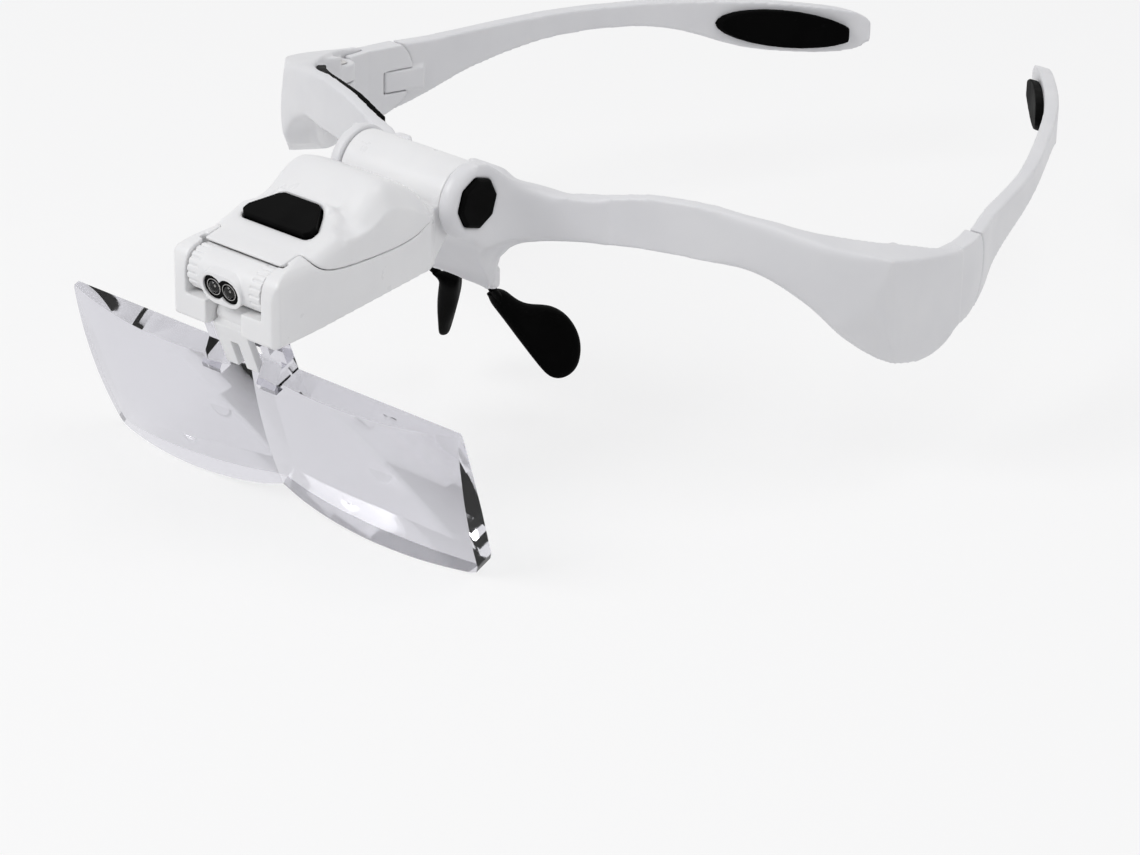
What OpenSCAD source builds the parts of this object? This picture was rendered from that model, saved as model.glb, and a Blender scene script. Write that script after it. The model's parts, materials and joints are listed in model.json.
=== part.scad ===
// Lighted head magnifier on spectacle temples.
// Origin at the nose bridge, +X to the wearer's left, the wearer looks along -Y, +Z is up.

/* [Front frame] */
// Width over the two outer corners
frame_w = 163; // [145:1:180]
// Depth from the hub's back to the end of a corner
frame_depth = 60; // [50:1:70]
// Wall thickness of the brow band
band_t = 2.6; // [2:0.1:3.4]
// Height of the brow band's upper edge above the nose bridge
band_top = 23; // [20:0.5:26]
// Height of the brow band at its middle
band_h = 11; // [9:0.5:14]
// How far a corner drops below the nose bridge
corner_drop = 9; // [6:0.2:14]

/* [Hub] */
// Height of the lamp arm's pivot above the nose bridge
pivot_z = 22; // [20:0.5:25]
// Distance of the pivot in front of the nose bridge
pivot_fwd = 19.5; // [17:0.5:22]
// Radius of a hub ear
ear_r = 7.7; // [7:0.1:9]
// Rounding of a hub ear's outer rim
ear_round = 2.2; // [1:0.1:2.6]
// Thickness of a hub ear
ear_t = 3.2; // [2.8:0.1:4]
// Width across flats of the octagonal pivot caps
cap_w = 9.6; // [8:0.2:11]
// Thickness of a pivot cap
cap_t = 1.7; // [1.2:0.1:2.4]
// Depth of a cap's seat in its ear
cap_seat = 1; // [0.6:0.1:1.3]
// Turn of a cap's upper flat, its rear end down
cap_turn = 18; // [0:1:45]
// Diameter of the pivot bolt
bolt_d = 3.5; // [3:0.1:4]

/* [Lamp arm] */
// Outer width of the lamp arm
arm_w = 27.2; // [27:0.2:30]
// Wall thickness of the arm's shells
shell_t = 1.3; // [1.1:0.1:1.6]
// Length from the pivot to the arm's front face
arm_len = 51.6; // [50:0.2:60]
// Radius of the barrel round the pivot
barrel_r = 7.1; // [6.6:0.1:8]
// Height of the hood's ridge above the pivot
hood_h = 11.5; // [10:0.1:14]
// Height of the hood's shoulders above the pivot
shoulder_h = 9; // [8:0.1:9.6]

/* [Power] */
// Diameter of a battery cell
cell_d = 12; // [10:0.1:12]
// Length of a battery cell
cell_len = 30.2; // [26:0.1:30.4]
// Travel of the power button
button_travel = 0.8; // [0.4:0.1:1]
// Width of the power button
button_w = 17.4; // [12:0.2:18]

/* [Lamp head] */
// Radius of the swivelling lamp head
head_r = 4.4; // [4:0.1:4.6]
// Length of the lamp head along its axis
head_len = 18.6; // [16:0.2:19]
// Diameter of an LED
led_d = 3; // [2.6:0.1:3.2]
// Distance between the two LEDs
led_gap = 3.9; // [3.7:0.1:4.4]

/* [Lens] */
// Width of the lens plate
lens_w = 100; // [80:1:110]
// Height of the lens plate
lens_h = 33; // [28:0.5:40]
// Greatest thickness of a lens lobe
lens_t = 7.8; // [6:0.2:11]
// Radius of a lobe's front surface
lobe_r = 105; // [80:1:150]
// Distance of a lobe's centre from the middle
lobe_x = 21; // [15:0.5:25]
// Tilt of the lens, its lower edge towards the wearer
lens_tilt = 21; // [12:1:24]
// Width of the lens clip
clip_w = 8.4; // [7:0.2:10]
// Wall of the lens plate's upright loop
loop_t = 4.8; // [3:0.1:5.4]

/* [Temples] */
// Length of a temple behind the front frame, along Y
temple_len = 110; // [95:1:120]
// How far a temple's tip comes in from its root
temple_in = 56; // [45:1:65]
// Thickness of a temple root
root_t = 3.8; // [3.4:0.1:4.4]
// Thickness of a temple arm
temple_t = 3; // [2.4:0.1:3.4]
// Diameter of a hinge pin
hinge_d = 2; // [1.6:0.1:2.2]
// Length of the temple's tongue in the root
tongue_len = 7; // [5:0.5:8]

/* [Pads] */
// Thickness of a nose pad
nose_pad_t = 3.8; // [3:0.1:5]
// Thickness of the brow pads
brow_pad_t = 2; // [1:0.1:2.4]
// Thickness of an ear pad
ear_pad_t = 1.8; // [1.2:0.1:2.4]

/* [Hidden] */
$fn = 64;
// Clearance of parts that move past each other
gap = 0.3;
// Radial clearance of a running fit
fit = 0.05;

pivot_y = -pivot_fwd;
half_w = frame_w / 2;
arm_x = arm_w / 2;
barrel_x = arm_x - 0.8;
ear_x = barrel_x + gap;
ear_out = ear_x + ear_t;
arm_front = pivot_y - arm_len;
hub_back = -11;
frame_end = hub_back + frame_depth;

// Smooth curve through the points p, with n steps a span
function spline_at(a, b, c, d, t) =
    0.5 * (2 * b + (c - a) * t + (2 * a - 5 * b + 4 * c - d) * t * t
           + (3 * b - a - 3 * c + d) * t * t * t);
function smooth(p, n = 4) = [
    for (i = [0:len(p) - 2], k = [0:n - 1])
        spline_at(p[max(i - 1, 0)], p[i], p[i + 1], p[min(i + 2, len(p) - 1)], k / n),
    p[len(p) - 1]
];
function along(p, i) = p[min(i + 1, len(p) - 1)] - p[max(i - 1, 0)];
function left_of(p, i) = let(d = along(p, i)) [-d[1], d[0]] / norm(d);
function offset_path(p, w) = [for (i = [0:len(p) - 1]) p[i] + w * left_of(p, i)];
function reversed(p) = [for (i = [len(p) - 1:-1:0]) p[i]];
function ribbon(p, near, far) = concat(offset_path(p, near), reversed(offset_path(p, far)));
function between(p, lo, hi) = [for (q = p) if (q[1] >= lo && q[1] <= hi) q];

module along_x(width) {
    rotate([90, 0, 90])
        linear_extrude(height = width, center = true)
            children();
}

module along_y(depth) {
    rotate([90, 0, 0])
        linear_extrude(height = depth, center = true)
            children();
}

module both_sides() {
    children();
    mirror([1, 0, 0])
        children();
}

module rod_x(r, x0, x1, sides = 64) {
    translate([x0, 0, 0])
        rotate([0, 90, 0])
            cylinder(r = r, h = x1 - x0, $fn = sides);
}

// Plan of the left half of the brow: its outer face, and the wall's thickness there over band_t
brow_shape = [
    [0.109, -0.05, 1], [0.158, 0, 1], [0.207, 0.07, 1], [0.266, 0.13, 1], [0.317, 0.165, 1],
    [0.415, 0.2, 1], [0.514, 0.243, 1.03], [0.601, 0.287, 1.1], [0.688, 0.336, 1.35],
    [0.776, 0.396, 1.9], [0.858, 0.463, 2.6], [0.928, 0.536, 3.1], [0.973, 0.619, 3.2],
    [0.993, 0.714, 2.8], [1, 0.81, 2.1], [0.998, 0.9, 1.15], [0.995, 1, 1.05]
];
brow_spline = smooth([
    for (q = brow_shape) [q[0] * half_w, hub_back + q[1] * frame_depth, q[2] * band_t]
], 3);
brow_path = [for (q = brow_spline) [q[0], q[1]]];
brow_wall = [for (q = brow_spline) q[2]];
brow_inner = [for (i = [0:len(brow_path) - 1]) brow_path[i] + brow_wall[i] * left_of(brow_path, i)];

// The corners are drawn in the plane that faces them, turned from the front by this angle
face_turn = 40;
face_len = half_w * cos(face_turn) + frame_end * sin(face_turn);
band_low = band_top - band_h;
brow_upper = smooth([
    [-0.03, band_top + 4], [0.05, band_top + 2.4], [0.082, band_top - 1.4], [0.16, band_top - 1.9],
    [0.28, band_top - 0.8], [0.38, band_top], [0.47, band_top - 0.4], [0.535, band_top - 1.3],
    [0.6, band_top - 2.6], [0.64, band_top - 3.8], [0.685, band_top - 5], [0.755, band_top - 6.9],
    [0.82, band_top - 8.4], [0.875, band_top - 9.7], [0.92, band_top - 10.9], [0.965, band_top - 12.2],
    [1, band_top - 13], [1.06, band_top - 14.2]
], 3);
brow_lower = smooth([
    [1.06, -corner_drop + 5], [0.995, -corner_drop + 3.6], [0.96, -corner_drop + 1],
    [0.92, -corner_drop], [0.875, -corner_drop + 0.7], [0.82, -corner_drop + 2.4],
    [0.755, -corner_drop + 6], [0.685, -corner_drop + 12.2], [0.645, band_low - 6],
    [0.6, band_low - 3.4], [0.55, band_low - 1.5], [0.48, band_low - 0.5], [0.4, band_low],
    [0.28, band_low], [0.16, band_low - 1], [0.07, band_low - 2.4], [-0.03, band_low - 3]
], 3);

module brow_face() {
    rotate([0, 0, face_turn])
        along_y(400)
            polygon([for (q = concat(brow_upper, brow_lower)) [q[0] * face_len, q[1]]]);
}

// The bend of a corner faces this way, and it is fullest at its middle
bend_turn = -41.6;
bend_x = 42.5;
bend_side = smooth([
    [bend_x - 1.4, -corner_drop - 1], [bend_x - 1.3, -corner_drop + 3], [bend_x - 1, -corner_drop + 6],
    [bend_x - 0.5, -corner_drop + 9], [bend_x - 0.1, -corner_drop + 11.5], [bend_x, -corner_drop + 14],
    [bend_x - 0.2, -corner_drop + 17.5], [bend_x - 0.6, -corner_drop + 21],
    [bend_x - 1, -corner_drop + 25], [bend_x - 1.2, -corner_drop + 29]
], 3);

module brow_half() {
    intersection() {
        rotate([0, 0, bend_turn])
            along_y(400)
                polygon(concat(
                    [[-200, -40], [bend_x - 1.4, -40]], bend_side, [[bend_x - 1.2, 40], [-200, 40]]
                ));
        translate([0, 0, -40])
            linear_extrude(height = 100)
                polygon(concat(brow_path, reversed(brow_inner)));
        brow_face();
    }
}

// Side view of the hub, with the ears' roots and the nose bridge
hub_low = -0.8;
hub_side = concat(
    smooth([
        [pivot_y - 1, pivot_z - ear_r], [pivot_y + 1.6, pivot_z - ear_r - 2.6],
        [pivot_y + 3.6, pivot_z - ear_r - 5.4], [pivot_y + 6, pivot_z - ear_r - 8.8],
        [-11, pivot_z - ear_r - 12.2], [-9.6, hub_low]
    ], 3),
    [[-6.4, hub_low], [-6.4, 3], [-6.2, 7], [-5.6, 11], [-5.4, 14], [-6, 18], [-6.6, 21.2], [-9, 23.2],
      [-12, 25.6], [pivot_y + 3.4, pivot_z + ear_r - 1], [pivot_y, pivot_z + ear_r]]
);
hub_front_half = concat(
    [[0, hub_low + 0.6], [6, hub_low + 0.3]],
    smooth([
        [10.4, hub_low], [11.5, hub_low + 1.8], [12.1, 4.2], [12.8, 7.4], [14.2, 10], [ear_out, 12]
    ], 3),
    [[ear_out, 40], [0, 40]]
);

module hub_solid() {
    intersection() {
        along_x(2 * ear_out)
            polygon(hub_side);
        along_y(120)
            polygon(concat(hub_front_half, [for (q = reversed(hub_front_half)) [-q[0], q[1]]]));
    }
    both_sides() {
        translate([ear_x, pivot_y, pivot_z])
            rotate([0, 90, 0])
                rotate_extrude()
                    polygon(concat(
                        [[0, 0], [ear_r, 0]],
                        [for (a = [0:15:90])
                            [ear_r - ear_round * (1 - cos(a)), ear_t - ear_round * (1 - sin(a))]],
                        [[0, ear_t]]
                    ));
        hub_flare();
    }
}

// Each ear flares into the brow band
flare_plan = smooth([
    [ear_out - 0.3, pivot_y], [ear_out, -15.4], [ear_out + 0.7, -11.6], [ear_out + 2.4, -8],
    [ear_out + 5.4, -5], [ear_out + 9, -3], [ear_out + 12.4, -1.2], [ear_out + 15.6, 0.5],
    [ear_out + 18, 1.8]
], 3);
flare_upper = smooth([
    [pivot_y + 0.6, pivot_z + ear_r - 0.3], [pivot_y + 3, pivot_z + ear_r - 0.7], [-13.6, 27], [-10.6, 24.6],
    [-7.4, 22.9], [-3.6, 21.8], [0, 21.3], [4, 21.2]
], 3);
// Front view of a flare: its upper edge from the ear outwards, and its lower edge back
flare_front = concat(
    [[ear_x - 0.5, pivot_z + ear_r]],
    smooth([
        [ear_out - ear_round, pivot_z + ear_r], [ear_out - 0.8, pivot_z + ear_r - 0.7],
        [ear_out, pivot_z + ear_r - 2.6], [ear_out + 1.4, pivot_z + 3.2], [ear_out + 4, pivot_z + 1.4],
        [ear_out + 9, pivot_z], [ear_out + 18, pivot_z - 0.6]
    ], 3),
    smooth([
        [ear_out + 18, band_low + 0.2], [ear_out + 9, band_low - 0.2], [ear_out + 4, band_low - 0.6],
        [ear_out + 1.4, band_low - 0.8], [ear_out, band_low - 0.4], [ear_x - 0.5, band_low - 3]
    ], 3)
);
module hub_flare() {
    intersection() {
        translate([0, 0, -10])
            linear_extrude(height = 50)
                polygon(concat(
                    flare_plan,
                    [[ear_out + 18, 2.6], [ear_out + 9, 1], [ear_out + 4, 0],
                     [ear_x - 0.5, -6], [ear_x - 0.5, pivot_y]]
                ));
        along_x(120)
            polygon(concat(
                flare_upper,
                [[4, band_low - 6], [-12.5, band_low - 6], [pivot_y + 3.6, pivot_z - ear_r - 5.4],
                 [pivot_y + 0.6, pivot_z - ear_r + 0.5]]
            ));
        along_y(60)
            polygon(flare_front);
    }
}

// Sockets under the nose bridge that take the nose pads, each on a web from the front wall
socket_x = 8.2;
socket_y = -6;
socket_r = 1.7;
socket_web = 3.6;
module pad_sockets() {
    both_sides()
        translate([socket_x, socket_y, hub_low - 1])
            cylinder(r = socket_r, h = 4, $fn = 32);
}

// Hinge between a corner and its temple root
temple_x = half_w - 1.2;
hinge_x = temple_x - 4.6;
hinge_y = frame_end - 9;
knuckle_r = 2.8;
lug_len = 12;
lug_top = [6.4, 10.4];
lug_low = [-2.8, 0.6];
knuckle_z = [lug_low[1] + gap, lug_top[0] - gap];
// The root's strip inside the corner, from the hinge's axis
strip_in = temple_x - root_t - hinge_x;
strip_out = 2.4;
strip_y = knuckle_r + 0.5;

module hinge_lug(z) {
    translate([hinge_x, hinge_y, z[0]])
        union() {
            cylinder(r = knuckle_r, h = z[1] - z[0]);
            translate([-knuckle_r, -lug_len, 0])
                cube([2 * knuckle_r, lug_len, z[1] - z[0]]);
        }
}

// Solid corner in front of the knuckle, a little below the band's upper edge
module corner_fill() {
    intersection() {
        translate([0, 0, lug_low[0] + 0.3])
            linear_extrude(height = 40)
                polygon([
                    [hinge_x - knuckle_r - 0.4, hinge_y - knuckle_r - gap],
                    [hinge_x - knuckle_r - 0.4, hinge_y - 11],
                    [hinge_x - 9, hinge_y - 19.5], [hinge_x - 3, hinge_y - 18],
                    [hinge_x + knuckle_r, hinge_y - lug_len],
                    [hinge_x + knuckle_r, hinge_y - knuckle_r - gap]
                ]);
        translate([0, 0, -0.8])
            brow_face();
    }
}

module front_frame() {
    color("gainsboro")
        difference() {
            union() {
                both_sides() {
                    brow_half();
                    hinge_lug(lug_top);
                    hinge_lug(lug_low);
                    corner_fill();
                }
                hub_solid();
                pad_sockets();
            }
            barrel_room();
            both_sides() {
                cap_recess();
                hinge_room();
                translate([hinge_x, hinge_y, lug_low[0] - 1])
                    cylinder(r = hinge_d / 2 + fit, h = lug_top[1] - lug_low[0] + 2);
            }
            translate([0, pivot_y, pivot_z])
                rod_x(bolt_d / 2 + fit, -ear_out - 1, ear_out + 1);
            nose_hollow();
            stem_holes();
        }
}

// Room for the barrel between the ears, and for the arm in front of it
module barrel_room() {
    translate([0, pivot_y, pivot_z]) {
        rod_x(barrel_r + gap, -ear_x, ear_x);
        translate([-ear_x, -30, -4])
            cube([2 * ear_x, 30, 40]);
        translate([-ear_x, -1, 0.4 * barrel_r])
            cube([2 * ear_x, barrel_r + 0.6, 40]);
    }
}

module cap_recess() {
    translate([ear_out - cap_seat, pivot_y, pivot_z])
        rotate([0, 90, 0])
            rotate([0, 0, half_side - cap_turn])
                cylinder(d = (cap_w + 2 * fit) / cos(half_side), h = cap_seat + 1, $fn = 8);
}

module hinge_room() {
    translate([hinge_x, hinge_y, knuckle_z[0] - gap]) {
        cylinder(r = knuckle_r + gap, h = knuckle_z[1] - knuckle_z[0] + 2 * gap);
        translate([-knuckle_r - 2, 0, 0])
            cube([knuckle_r + 2 + strip_out + gap, 20, knuckle_z[1] - knuckle_z[0] + 2 * gap]);
    }
    translate([hinge_x - knuckle_r - 2, hinge_y + strip_y - gap, -20])
        cube([knuckle_r + 2 + strip_out + gap, 20, 40]);
}

// The nose bridge is a shell, open to the wearer
module nose_hollow() {
    difference() {
        translate([0, 2.2, 0])
            intersection() {
                along_x(2 * (ear_out - 4))
                    polygon([
                        [-11.8, 7.4], [-9.4, hub_low - 3], [0, hub_low - 3], [0, 24], [-8, 24], [-9.5, 15]
                    ]);
                along_y(60)
                    polygon([
                        [-9.6, hub_low - 4], [9.6, hub_low - 4], [11, 12], [11, 24], [-11, 24], [-11, 12]
                    ]);
            }
        both_sides()
            translate([socket_x, socket_y, -10]) {
                cylinder(r = socket_r, h = 16, $fn = 32);
                translate([-socket_r, -socket_web, 0])
                    cube([2 * socket_r, socket_web, 16]);
            }
    }
}

stem_r = 0.9;
module stem_holes() {
    both_sides()
        translate([socket_x, socket_y, hub_low - 3])
            cylinder(r = stem_r + fit, h = 6, $fn = 32);
}

// Soft strips inside the brow
brow_pad_drop = 0.9;
brow_pad_h = 5.9;
brow_pad_path = [
    for (i = [0:len(brow_path) - 1])
        if (brow_path[i][0] > 0.38 * half_w && brow_path[i][1] < hub_back + 0.49 * frame_depth) brow_inner[i]
];
module brow_pad() {
    intersection() {
        translate([0, 0, -40])
            linear_extrude(height = 100)
                polygon(ribbon(brow_pad_path, 0, brow_pad_t));
        translate([0, 0, -brow_pad_drop])
            brow_face();
        translate([0, 0, band_h - brow_pad_h - brow_pad_drop])
            brow_face();
    }
}

module brow_pad_left() {
    color("black")
        brow_pad();
}

module brow_pad_right() {
    color("black")
        mirror([1, 0, 0])
            brow_pad();
}

// Nose pads, soft teardrops hung from the bridge
pad_centre = [11, 2.45, -14.3];
pad_turn = [25.6, -6.9, -36.8];
pad_outline = smooth([
    [-3.2, 10.2], [-1.4, 11.6], [0.4, 10.6], [1.2, 8], [2.8, 5.6], [5.6, 4], [7.7, 1], [8.2, -3],
    [7.4, -7], [5, -10.2], [2, -10.8], [-0.3, -9], [-1.6, -2], [-2.4, 5], [-3.2, 10.2]
], 3);

module nose_pad() {
    translate(pad_centre)
        rotate(pad_turn)
            rotate([90, 0, 90])
                linear_extrude(height = nose_pad_t, center = true)
                    polygon(pad_outline);
    hull() {
        translate(pad_centre)
            rotate(pad_turn)
                translate([0, -1.4, 9.6])
                    sphere(r = 0.4 * nose_pad_t, $fn = 20);
        translate([socket_x, socket_y, hub_low - 1.8])
            cylinder(r = stem_r + 0.3, h = 0.6, $fn = 20);
    }
    translate([socket_x, socket_y, hub_low - 1.6])
        cylinder(r = stem_r, h = 4.2, $fn = 32);
}

module nose_pad_left() {
    color("black")
        nose_pad();
}

module nose_pad_right() {
    color("black")
        mirror([1, 0, 0])
            nose_pad();
}

// Bolt and nut of the arm's pivot, under the caps
module pivot_bolt() {
    color("silver")
        translate([0, pivot_y, pivot_z])
            rod_x(bolt_d / 2, -(ear_out - cap_seat), ear_out - cap_seat);
}

cap_edge = 0.4;
// Half of the angle that one side of an octagon spans
half_side = 22.5;
module pivot_cap() {
    translate([ear_out - cap_seat, pivot_y, pivot_z])
        rotate([0, 90, 0])
            rotate([0, 0, half_side - cap_turn]) {
                cylinder(d = cap_w / cos(half_side), h = cap_t - cap_edge, $fn = 8);
                translate([0, 0, cap_t - cap_edge])
                    cylinder(d1 = cap_w / cos(half_side), d2 = (cap_w - 1) / cos(half_side),
                             h = cap_edge, $fn = 8);
            }
}

module pivot_cap_left() {
    color("black")
        pivot_cap();
}

module pivot_cap_right() {
    color("black")
        mirror([1, 0, 0])
            pivot_cap();
}

// Side view of the lamp arm. The seam parts the tray from the hood
floor_rear = pivot_z - 11.2;
floor_front = pivot_z - 14.6;
floor_slope = atan((floor_rear - floor_front) / (arm_len - 8));
rear_y = pivot_y - barrel_r - 1;
seam_z = pivot_z - 4;
brow_y = arm_front + 9.6;
seam_line = smooth([
    [rear_y, pivot_z + 3.6], [rear_y - 0.5, pivot_z + 0.8], [rear_y - 2.2, pivot_z - 1.6],
    [rear_y - 5.6, seam_z + 0.8], [rear_y - 10, seam_z + 0.1], [rear_y - 16, seam_z],
    [brow_y + 9, seam_z + 0.4],
    [brow_y + 4, seam_z + 1.4], [brow_y + 1.4, seam_z + 3], [brow_y, seam_z + 5.2]
], 3);
tray_front = smooth([
    [brow_y - 3.6, pivot_z + 0.1], [arm_front + 2.4, pivot_z - 0.7], [arm_front + 0.6, pivot_z - 2.4],
    [arm_front, pivot_z - 5]
], 3);
tray_side = concat(
    [[rear_y, floor_rear]], seam_line, [[brow_y, pivot_z + 0.8]], tray_front,
    [[arm_front, floor_front + 0.6], [arm_front + 0.6, floor_front]]
);

module tray_envelope() {
    intersection() {
        along_x(2 * arm_x)
            polygon(tray_side);
        along_y(200)
            arm_section();
        translate([0, 0, -20])
            linear_extrude(height = 80)
                arm_plan();
    }
}

module tray_solid() {
    tray_envelope();
    translate([0, pivot_y, pivot_z])
        rod_x(barrel_r, -barrel_x, barrel_x);
    // Neck that joins the barrel to the tray
    along_x(2 * barrel_x - 0.6)
        polygon([
            [rear_y - 0.1, floor_rear], [pivot_y - 4, pivot_z - barrel_r + 0.9],
            [pivot_y - 4, pivot_z + 0.5], [rear_y - 0.1, pivot_z + 0.4]
        ]);
}

// Front view of the arm, with rounded upper corners
corner_r = 4;
module arm_section() {
    polygon(concat(
        [[-arm_x + 0.8, floor_front - 0.1], [arm_x - 0.8, floor_front - 0.1], [arm_x, floor_front + 0.9]],
        [for (a = [0:15:90]) [arm_x - corner_r + corner_r * cos(a),
                              pivot_z + 0.8 - corner_r + corner_r * sin(a)]],
        [for (a = [90:15:180]) [-arm_x + corner_r + corner_r * cos(a),
                                pivot_z + 0.8 - corner_r + corner_r * sin(a)]],
        [[-arm_x, floor_front + 0.9]]
    ));
}

module arm_plan(inset = 0) {
    polygon([
        [-arm_x + 1.2 + inset, arm_front], [arm_x - 1.2 - inset, arm_front],
        [arm_x - inset, arm_front + 1.2], [arm_x - inset, rear_y - 1.8],
        [barrel_x - inset, rear_y - 0.4], [barrel_x - inset, rear_y],
        [-barrel_x + inset, rear_y], [-barrel_x + inset, rear_y - 0.4],
        [-arm_x + inset, rear_y - 1.8], [-arm_x + inset, arm_front + 1.2]
    ]);
}

// Lamp head axis, and the bays of the tray
head_y = arm_front + 4.5;
head_z = pivot_z - 5.2;
head_end = head_len / 2;
bay_front = head_y + head_r + 1.8;
bay_rear = rear_y - shell_t;
bay_x = arm_x - shell_t;
clip_x = clip_w / 2;

module cell_place(side) {
    translate([side * (cell_d / 2 + 0.05), bay_rear, floor_rear])
        rotate([floor_slope, 0, 0])
            translate([0, 0, shell_t + cell_d / 2 + 0.1])
                children();
}

module battery_bay() {
    intersection() {
        translate([-bay_x, bay_front, floor_front])
            cube([2 * bay_x, bay_rear - bay_front, 60]);
        translate([0, rear_y, floor_rear])
            rotate([floor_slope, 0, 0])
                translate([-bay_x, -80, shell_t])
                    cube([2 * bay_x, 90, 60]);
    }
}

cheek_in = head_end + gap + 0.1;
// Tongue of the hood between the cheeks, over the rear of the head
tongue_x = cheek_in + 0.2;
tongue_y = head_y + 1;
tongue_z = pivot_z - 2.4;
seam_w = 0.12;
// Depth of the slot that the clip swings in
clip_room = 11;
module head_bay() {
    // Room for the lamp head between the cheeks
    translate([-cheek_in, arm_front - 1, head_z - head_r])
        cube([2 * cheek_in, tongue_y - arm_front + 1, 2 * head_r + 4]);
    translate([-cheek_in, head_y, head_z - head_r])
        cube([2 * cheek_in, bay_front - shell_t - head_y, head_r]);
    translate([0, head_y, head_z])
        rod_x(head_r + gap, -cheek_in, cheek_in);
    // Room for the hood's tongue, with a slot at each of its front corners
    translate([-tongue_x - seam_w, tongue_y - 0.1, tongue_z - seam_w])
        cube([2 * (tongue_x + seam_w), brow_y - tongue_y + 2, 6]);
    both_sides()
        translate([tongue_x - 0.2, tongue_y - 0.6, pivot_z - 2.2])
            cube([1.1, 1.7, 4]);
    // Room for the lens clip between the ledges
    translate([-clip_x - gap, arm_front - 1, floor_front - 1])
        cube([2 * (clip_x + gap), clip_room, head_z - floor_front]);
    // Open floor behind the ledges
    translate([-cheek_in, clip_pivot[1] + 2.2, floor_front - 1])
        cube([2 * cheek_in, bay_front - shell_t - clip_pivot[1] - 2.2, head_z - floor_front]);
}

module arm_tray() {
    color("whitesmoke")
        difference() {
            tray_solid();
            battery_bay();
            head_bay();
            translate([0, pivot_y, pivot_z])
                rod_x(barrel_r - 1.5, -barrel_x + 1.6, barrel_x - 1.6);
            translate([0, pivot_y, pivot_z])
                rod_x(bolt_d / 2 + fit, -arm_w, arm_w);
            translate([0, head_y, head_z])
                rod_x(stub_r + fit, -head_end - stub_len - 0.2, head_end + stub_len + 0.2);
            translate([0, clip_pivot[1], clip_pivot[2]])
                rod_x(clip_pin_r, -clip_pin_x, clip_pin_x);
        }
}

// Hood over the cells: a sloping apron, two shoulders and a ridge between them
hood_top = pivot_z + hood_h;
hood_shoulder = pivot_z + shoulder_h;
apron_slope = 18.5;
shoulder_line = smooth([
    [brow_y + 7, seam_z], [brow_y + 9.4, pivot_z + 2], [brow_y + 11.4, hood_shoulder - 4.8],
    [brow_y + 13.6, hood_shoulder - 2.4], [brow_y + 15.6, hood_shoulder - 0.5],
    [brow_y + 17.8, hood_shoulder],
    [rear_y - 8, hood_shoulder], [rear_y - 5, hood_shoulder - 0.6],
    [rear_y - 2.4, hood_shoulder - 2.6], [rear_y, hood_shoulder - 5.4]
], 3);
ridge_line = smooth([
    [brow_y + 6, seam_z], [brow_y + 8, pivot_z + 2], [brow_y + 11, pivot_z + 5],
    [brow_y + 14, hood_top - 2.2], [brow_y + 17, hood_top - 0.5], [brow_y + 20.5, hood_top],
    [rear_y - 8, hood_top - 0.4], [rear_y - 5.4, hood_top - 1.4], [rear_y - 2.6, hood_top - 3.8],
    [rear_y, hood_top - 7.6]
], 3);
ridge_w = 7.4;

// Front view with rounded upper corners, w to each side and up to the height top
module round_top(w, top, r) {
    polygon(concat(
        [[-w, -10], [w, -10]],
        [for (a = [0:15:90]) [w - r + r * cos(a), top - r + r * sin(a)]],
        [for (a = [90:15:180]) [r - w + r * cos(a), top - r + r * sin(a)]]
    ));
}

module hood_part(line, top, w, r, inset) {
    intersection() {
        along_y(160)
            round_top(w - inset, top - inset, r);
        along_x(60)
            polygon(concat(
                [[rear_y, -10], [line[0][0], -10]], offset_path(line, -inset)
            ));
    }
}

module hood_body(inset) {
    intersection() {
        union() {
            translate([0, brow_y, pivot_z + 0.8])
                rotate([apron_slope, 0, 0])
                    intersection() {
                        along_y(2 * arm_len)
                            translate([0, -inset])
                                round_top(arm_x - inset, 0, corner_r);
                        translate([-30, -20, -40])
                            cube([60, 20 + 16 / cos(apron_slope), 80]);
                    }
            hood_part(shoulder_line, hood_shoulder, arm_x, 2.8, inset);
            hood_part(ridge_line, hood_top, ridge_w, 2.6, inset);
        }
        translate([0, 0, seam_z - 4])
            linear_extrude(height = 40)
                arm_plan(inset);
    }
}

module hood_tongue() {
    difference() {
        intersection() {
            translate([-tongue_x, tongue_y, tongue_z])
                cube([2 * tongue_x, brow_y - tongue_y + 1.6, 6]);
            union() {
                tray_envelope();
                hood_body(0);
            }
        }
        translate([0, head_y, head_z])
            rod_x(head_r + gap, -arm_x, arm_x);
    }
}

module hood_side() {
    along_x(60)
        polygon(concat(
            [[rear_y, pivot_z + 40]], offset_path(seam_line, -0.12), [[brow_y, pivot_z + 40]]
        ));
}

// Button on the hood's apron
button_y = brow_y + 7.9;
button_z = pivot_z + 0.8 + (button_y - brow_y) * tan(apron_slope);
button_d = 8.2;

module button_shape(grow) {
    w = button_w / 2 + grow;
    d = button_d / 2 + grow;
    polygon([
        [-w + 1, -d], [w - 1, -d], [w, -d + 1], [w, -d + 2.6], [w - 3.2, d - 0.8], [w - 4.4, d],
        [4.4 - w, d], [3.2 - w, d - 0.8], [-w, -d + 2.6], [-w, -d + 1]
    ]);
}

module on_slope() {
    translate([0, button_y, button_z])
        rotate([apron_slope, 0, 0])
            children();
}

module battery_cover() {
    color("whitesmoke")
        difference() {
            union() {
                intersection() {
                    union() {
                        difference() {
                            hood_body(0);
                            hood_body(shell_t);
                        }
                        intersection() {
                            hood_body(0);
                            board_posts();
                        }
                    }
                    hood_side();
                }
                hood_tongue();
            }
            on_slope()
                translate([0, 0, -6])
                    linear_extrude(height = 12)
                        button_shape(0.25);
        }
}

module power_button() {
    color("black")
        on_slope() {
            translate([0, 0, -1.2])
                linear_extrude(height = 2.2)
                    button_shape(0);
            translate([-switch_w / 2, switch_v, button_low])
                cube([switch_w, 1.6, 1]);
        }
}

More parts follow.
